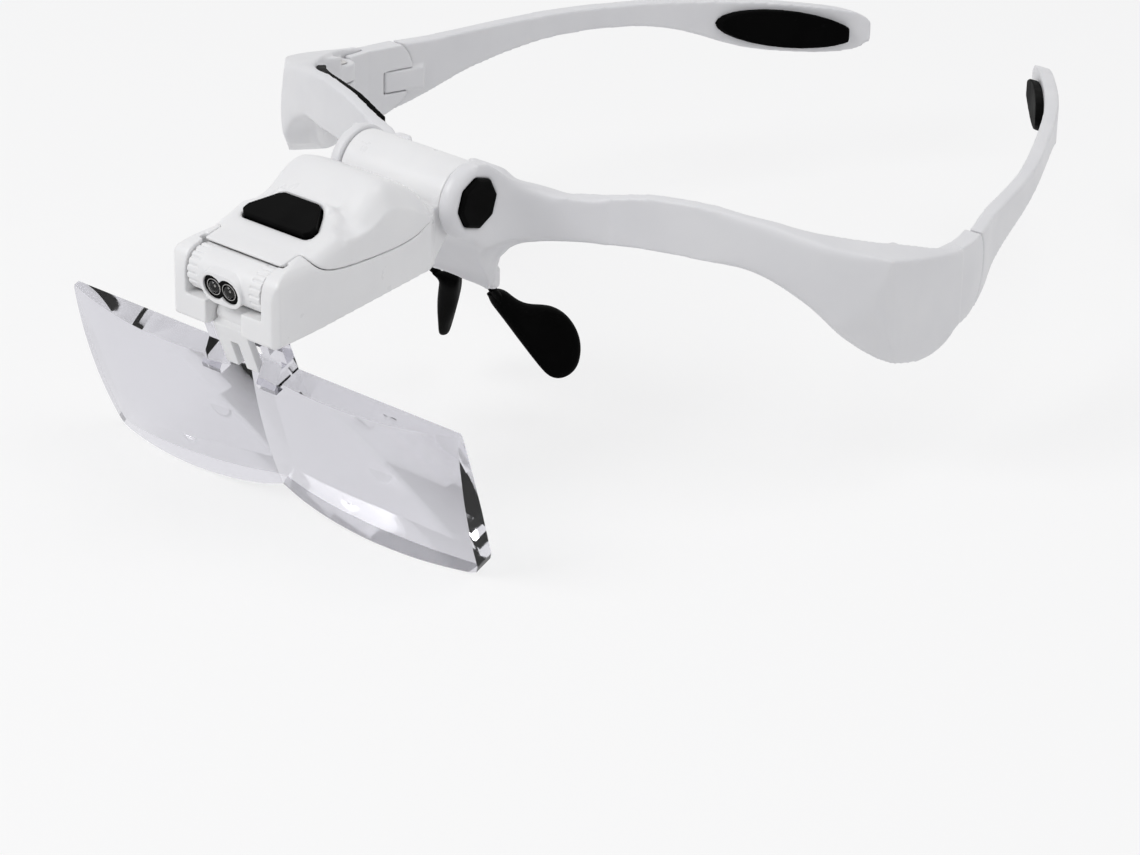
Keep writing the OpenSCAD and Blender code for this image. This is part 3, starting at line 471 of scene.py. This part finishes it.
def band_lowered(point):
    """The brow band sags a little beside the hub."""
    x, y, z = in_mm(point)
    share = within(abs(x), *SAG_X) * step(z, *SAG_FROM_Z)
    z -= share * (SAG_LOW + SAG_MORE * step(z, *SAG_MORE_Z))
    return Vector((x, y, z)) * MM


def front_moved(point):
    """The hub's side walls end further forward, and the band sags."""
    x, y, z = in_mm(point)
    share = within(abs(x), *WALL_X) * within(z, *WALL_Z)
    y -= WALL_IN * share * step(y, *WALL_Y)
    return band_lowered(Vector((x, y, z)) * MM)


def front_zone(point):
    """1 under the ears, at the band's root and on the bends of the corners."""
    x, y, z = in_mm(point)
    x = abs(x)
    ear = within(x, *EAR_ZONE_X) * within(z, *EAR_ZONE_Z)
    root = max(step(x, *ROOT_ZONE_X), step(y, *ROOT_ZONE_Y) * step(z, *ROOT_ZONE_Z))
    corner = step(x, *CORNER_ZONE_X) * (1 - step(y, *CORNER_ZONE_END))
    return max(ear, root * (1 - step(x, *ROOT_ZONE_END)), corner)


def strip_moved(point):
    """The brow strips follow the band's sag and lie a little lower."""
    side = "left" if point.x > 0 else "right"
    return band_lowered(point) + Vector((0, 0, -STRIP_DROP[side] * MM))


softened(
    "front_shell", "front_frame", voxel=0.35 * MM, passes=10,
    extra=hub_fillets, moved=front_moved, zone=front_zone,
)
for side, _ in SIDES:
    softened("temple_root_shell_" + side, "temple_root_" + side, voxel=0.25 * MM, passes=6)
    softened("temple_shell_" + side, "temple_arm_" + side, voxel=0.35 * MM, passes=8)
    ear_cushion = softened("ear_cushion_" + side, "ear_pad_" + side, voxel=0.2 * MM, passes=16)
    brow_cushion = softened(
        "brow_cushion_" + side, "brow_pad_" + side, voxel=0.2 * MM, passes=12, moved=strip_moved,
    )
    softened("pivot_button_" + side, "pivot_cap_" + side, voxel=0.12 * MM, passes=3)
softened("tray_shell", "arm_tray", voxel=0.2 * MM, passes=12)

# Hood: lowered behind the button to a crown given as (y, z) down its middle, with falling sides
CROWN = [
    (-51.5, 26.1), (-50, 26.6), (-48.5, 26.9), (-47, 27.4), (-45.5, 28.3), (-44, 29.3), (-42.5, 30.3),
    (-41, 30.9), (-39.5, 31.0), (-38, 30.6), (-35.5, 29.5), (-33.5, 28.5), (-31.5, 27.2), (-30, 26.0),
    (-28.5, 24.0), (-27, 22.0),
]
SEAM_Z = 20.4
HOOD_REACH = 12.9
# Above the hood, where the search for its top starts
SEARCH_Z = 60
# From the button's window outwards, and where the lowering starts behind and beside it
BESIDE_X = (8.8, 10.8)
BEHIND_Y = (-50.2, -48)
BESIDE_Y = (-54, -49.5)
# Where the crown rises from the apron
RISE_Y = (-50, -43)
# Drop of the crown's flanks, more on the apron, and of its rounded outer edges
FLANK_X = (5, 11)
FLANK_DROP = 1.8
FLANK_LESS = 1.5
EDGE_X = 9.5
EDGE_SPAN = 4.1
EDGE_DROP = 5.5
EDGE_POWER = 2.2
EDGE_SHARE = 0.35
# Least height of the hood over its seam before and after
LEAST_BEFORE = 0.5
LEAST_AFTER = 1
HOOD_ZONE_BEHIND = (-50.6, -49.4)
HOOD_ZONE_BESIDE = (9, 10)
HOOD_ZONE_BESIDE_Y = (-54, -51)
HOOD_ZONE_Z = (22, 24)
hood_tree = BVHTree.FromObject(frame["nodes"]["battery_cover"], bpy.context.evaluated_depsgraph_get())


def hood_aim(reach, y):
    """Height that the hood's top is lowered to."""
    rise = step(y, *RISE_Y)
    aim = between(CROWN, y) - (FLANK_DROP - FLANK_LESS * rise) * step(reach, *FLANK_X)
    if reach > EDGE_X:
        edge = ((reach - EDGE_X) / EDGE_SPAN) ** EDGE_POWER
        aim -= EDGE_DROP * edge * (EDGE_SHARE + (1 - EDGE_SHARE) * rise)
    return aim


def hood_lowered(point):
    """Squeezes the hood towards its seam, as far as its top has to come down there."""
    x, y, z = in_mm(point)
    reach = min(abs(x), HOOD_REACH)
    beside = step(reach, *BESIDE_X)
    share = (1 - beside) * step(y, *BEHIND_Y) + beside * step(y, *BESIDE_Y)
    if z <= SEAM_Z or share == 0:
        return point
    start = Vector((math.copysign(reach, x), y, SEARCH_Z)) * MM
    hit = hood_tree.ray_cast(start, Vector((0, 0, -1)))[0]
    if hit is None or hit.z / MM <= SEAM_Z + LEAST_BEFORE:
        return point
    top = hit.z / MM
    aim = max(min(hood_aim(reach, y), top), SEAM_Z + LEAST_AFTER)
    squeeze = 1 - share * (1 - (aim - SEAM_Z) / (top - SEAM_Z))
    return Vector((x, y, SEAM_Z + (z - SEAM_Z) * squeeze)) * MM


def hood_zone(point):
    """1 on the hood behind the button and beside its rear corners."""
    x, y, z = in_mm(point)
    behind = step(y, *HOOD_ZONE_BEHIND)
    beside = step(abs(x), *HOOD_ZONE_BESIDE) * step(y, *HOOD_ZONE_BESIDE_Y)
    return max(behind, beside) * step(z, *HOOD_ZONE_Z)


softened(
    "hood_shell", "battery_cover", voxel=0.2 * MM, passes=30, moved=hood_lowered, zone=hood_zone,
)

# Nose pads: cushions with round edges and thin tips, each on its own stem
STEM_CUT = -3.7 * MM
STEM_TOP = (8.2, -6, -2.2)
STEM_FOOT = (7.3, -2.2, -6.4)
STEM_R = 0.8 * MM
STEM_SEGMENTS = 32
STEM_EDGE = 40
CUSHION_VOXEL = 0.3 * MM
CUSHION_PASSES = 200
CUSHION_KEPT = 0.4
TIP_SHARE = 0.5
TIP_HEIGHT = 12


def cut_off_stem(shape):
    """Cuts away what lies above the stem's cut and closes the rest."""
    cut = bmesh.ops.bisect_plane(
        shape, geom=[*shape.verts, *shape.edges, *shape.faces], plane_co=(0, 0, STEM_CUT),
        plane_no=(0, 0, 1), clear_outer=True,
    )
    edges = [edge for edge in cut["geom_cut"] if isinstance(edge, bmesh.types.BMEdge)]
    bmesh.ops.holes_fill(shape, edges=edges)
    bmesh.ops.recalc_face_normals(shape, faces=shape.faces)


def box_of(mesh):
    points = [vertex.co for vertex in mesh.vertices]
    return Vector([min(c) for c in zip(*points)]), Vector([max(c) for c in zip(*points)])


def stretch_to(mesh, low, high):
    """Stretches the mesh along each axis until it fills the box."""
    least, most = box_of(mesh)
    for vertex in mesh.vertices:
        vertex.co = Vector([
            a + (c - p) / (q - p) * (b - a) for a, b, c, p, q in zip(low, high, vertex.co, least, most)
        ])


def thin_tip(mesh):
    """Thins a sheet-like piece about its middle plane x = a + b y + c z towards its lower end."""
    points = [in_mm(vertex.co) for vertex in mesh.vertices]
    products = [[0.0] * 3 for _ in range(3)]
    sums = [0.0] * 3
    for x, y, z in points:
        row = (1, y, z)
        for i in range(3):
            sums[i] += row[i] * x
            for k in range(3):
                products[i][k] += row[i] * row[k]
    plane = Matrix(products).inverted() @ Vector(sums)
    foot = min(z for _, _, z in points)
    for vertex, (x, y, z) in zip(mesh.vertices, points):
        middle = plane.dot(Vector((1, y, z)))
        share = TIP_SHARE + (1 - TIP_SHARE) * step(z, foot, foot + TIP_HEIGHT)
        vertex.co.x = (middle + (x - middle) * share) * MM


def nose_cushion(side):
    node = "nose_pad_" + side
    cushion = node_copy("nose_cushion_" + side, node)
    edited(cushion.data, cut_off_stem)
    low, high = box_of(cushion.data)
    smoothed(remeshed(cushion, CUSHION_VOXEL), CUSHION_PASSES, CUSHION_KEPT)
    stretch_to(cushion.data, low, high)
    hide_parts(node)
    thin_tip(cushion.data)
    link(cushion, body_of[node], slot_of[node])


def nose_stem(side, sign):
    name = "nose_stem_" + side
    top, foot = (Vector((sign * x, y, z)) * MM for x, y, z in (STEM_TOP, STEM_FOOT))
    along = foot - top
    turn = along.to_track_quat("Z", "Y").to_matrix().to_4x4()
    shape = bmesh.new()
    bmesh.ops.create_cone(
        shape, cap_ends=True, segments=STEM_SEGMENTS, radius1=STEM_R, radius2=STEM_R, depth=along.length,
        matrix=Matrix.Translation((top + foot) / 2) @ turn,
    )
    mesh = bpy.data.meshes.new(name)
    shape.to_mesh(mesh)
    shape.free()
    shade_smooth(mesh, STEM_EDGE)
    node = "nose_pad_" + side
    link(new_piece(name, mesh), body_of[node], slot_of[node])


for side, sign in SIDES:
    nose_cushion(side)
    nose_stem(side, sign)

# Small moving pieces
softened("button_cap", "power_button", voxel=0.15 * MM, passes=5)
softened("lamp_barrel", "led_head", voxel=0.12 * MM, passes=3)
softened("clip_jaw", "lens_bracket", voxel=0.12 * MM, passes=3)

# The two LEDs: a clear dome over a black core with a small bright cup, in a black sleeve with a rim
LED_X = 1.95
LED_R = 1.5
LED_BACK = 2.98
DOME_AT = 4.0
DOME_TURN = 9
# How far the lamp head is tilted at rest
HEAD_TURN = 9.5
head = Vector(next(j for j in frame["record"]["behaviour"]["joints"] if j["name"] == "lamp_tilt")["pos_m"])
# Profiles as (reach, radius) in front of the lamp head's axis
DOME = [
    (LED_BACK, 0), (LED_BACK, LED_R),
    *((DOME_AT + LED_R * math.sin(math.radians(turn)), LED_R * math.cos(math.radians(turn)))
      for turn in range(0, 90, DOME_TURN)),
    (DOME_AT + LED_R, 0),
]
CORE = [(3.02, 0), (3.02, 1.44), (3.9, 1.44), (4.15, 1.2), (4.2, 0)]
CUP = [(4.1, 0), (4.1, 0.16), (4.35, 0.2), (4.35, 0.14), (4.28, 0)]
SLEEVE = [(2.84, 0), (2.84, 1.78), (4.3, 1.78), (4.3, 1.56), (2.94, 1.56), (2.94, 0)]
RIM = [(4.68, 1.54), (4.68, 1.7), (4.8, 1.66), (4.8, 1.56)]

for side, sign in SIDES:
    place = head + Vector((sign * LED_X * MM, 0, 0))
    dome = turned("led_dome_" + side, DOME, place, HEAD_TURN, "lamp", "led_resin")
    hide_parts("led_" + side)
    turned("led_core_" + side, CORE, place, HEAD_TURN, "lamp", "trim_black")
    turned("led_cup_" + side, CUP, place, HEAD_TURN, "lamp", "steel")
    turned("led_sleeve_" + side, SLEEVE, place, HEAD_TURN, "lamp", "trim_black")
    turned("led_edge_" + side, RIM, place, HEAD_TURN, "lamp", "steel")

# Stage: pale floor, white surroundings and soft lights
FLOOR_GAP = 0.2 * MM
FLOOR_HALF = 3.0
FLOOR_GLOW = 0.7
SKY_LIGHT = 0.46
LIT_POINT = (0, 0.03, 0)
# Name, place, size and watts of each light
LIGHTS = [
    ("key", (-0.35, -0.75, 0.75), 0.6, 5.2),
    ("top", (0.35, 0.25, 1.0), 0.8, 2.3),
    ("side", (0.9, 0.1, 0.35), 0.6, 0.9),
]


def seen_directly(tree):
    """1 for camera, glossy and transmission rays, 0 for the rest."""
    path = tree.nodes.new("ShaderNodeLightPath")
    last = path.outputs["Is Camera Ray"]
    for kind in ("Is Glossy Ray", "Is Transmission Ray"):
        either = tree.nodes.new("ShaderNodeMath")
        either.operation = "MAXIMUM"
        tree.links.new(last, either.inputs[0])
        tree.links.new(path.outputs[kind], either.inputs[1])
        last = either.outputs["Value"]
    return last


def blended(tree, fac, one, two, end):
    """Mixes two shaders by the factor and leads them to the tree's end node."""
    blend = tree.nodes.new("ShaderNodeMixShader")
    tree.links.new(fac, blend.inputs["Fac"])
    tree.links.new(one, blend.inputs[1])
    tree.links.new(two, blend.inputs[2])
    tree.links.new(blend.outputs["Shader"], tree.nodes[end].inputs["Surface"])


def paper():
    """Pale paper that glows a little where it is seen directly, so that it is nearly white."""
    material, shader = new_material("floor_paper")
    shader.inputs["Base Color"].default_value = (0.86, 0.86, 0.86, 1)
    shader.inputs["Roughness"].default_value = 0.9
    shader.inputs["Specular IOR Level"].default_value = 0.1
    tree = material.node_tree
    glow = tree.nodes.new("ShaderNodeEmission")
    share = tree.nodes.new("ShaderNodeMath")
    share.operation = "MULTIPLY"
    share.inputs[1].default_value = FLOOR_GLOW
    tree.links.new(seen_directly(tree), share.inputs[0])
    blended(tree, share.outputs["Value"], shader.outputs["BSDF"], glow.outputs["Emission"], "Material Output")
    return material


def floor():
    z = cad_box[0][2] - FLOOR_GAP
    half = FLOOR_HALF
    corners = [(-half, -half, z), (half, -half, z), (half, half, z), (-half, half, z)]
    mesh = bpy.data.meshes.new("floor")
    mesh.from_pydata(corners, [], [(0, 1, 2, 3)])
    piece = new_piece("floor", mesh)
    mesh.materials.append(paper())


def studio():
    """World that lights the object softly and is white where it is seen directly."""
    world = bpy.data.worlds.new("studio")
    scene.world = world
    world.use_nodes = True
    tree = world.node_tree
    lit = tree.nodes["Background"]
    lit.inputs["Color"].default_value = (0.97, 0.97, 1, 1)
    lit.inputs["Strength"].default_value = SKY_LIGHT
    white = tree.nodes.new("ShaderNodeBackground")
    white.inputs["Color"].default_value = (1, 1, 1, 1)
    white.inputs["Strength"].default_value = 1
    blended(
        tree, seen_directly(tree), lit.outputs["Background"], white.outputs["Background"], "World Output",
    )


def area_light(name, place, size, watts):
    data = bpy.data.lights.new(name, "AREA")
    data.shape = "DISK"
    data.size = size
    data.energy = watts
    lamp = new_piece(name, data)
    lamp.location = place
    lamp.rotation_euler = (Vector(LIT_POINT) - Vector(place)).to_track_quat("-Z", "Y").to_euler()


floor()
studio()
for light in LIGHTS:
    area_light(*light)

# Camera at the photograph's place, found from the picture's perspective
AZIMUTH = 40.157
ELEVATION = 25.753
ROLL = 1.175
EYE = Vector((479.86, -540.51, 311.80)) * MM
PHOTO_W = 1140
FOCAL_PX = 4000
SENSOR_W = 36
FAR_END = 10


def photo_camera():
    azimuth, elevation, roll = (math.radians(a) for a in (AZIMUTH, ELEVATION, ROLL))
    back = Vector((
        math.sin(azimuth) * math.cos(elevation), -math.cos(azimuth) * math.cos(elevation), math.sin(elevation)
    ))
    right = Vector((math.cos(azimuth), math.sin(azimuth), 0))
    up = back.cross(right)
    right, up = (
        math.cos(roll) * right + math.sin(roll) * up,
        math.cos(roll) * up - math.sin(roll) * right,
    )
    data = bpy.data.cameras.new("camera")
    data.sensor_width = SENSOR_W
    data.lens = FOCAL_PX * SENSOR_W / PHOTO_W
    data.clip_end = FAR_END
    camera = new_piece("camera", data)
    camera.matrix_world = Matrix.Translation(EYE) @ Matrix((right, up, back)).transposed().to_4x4()
    scene.camera = camera


photo_camera()
scene.view_settings.view_transform = "Standard"
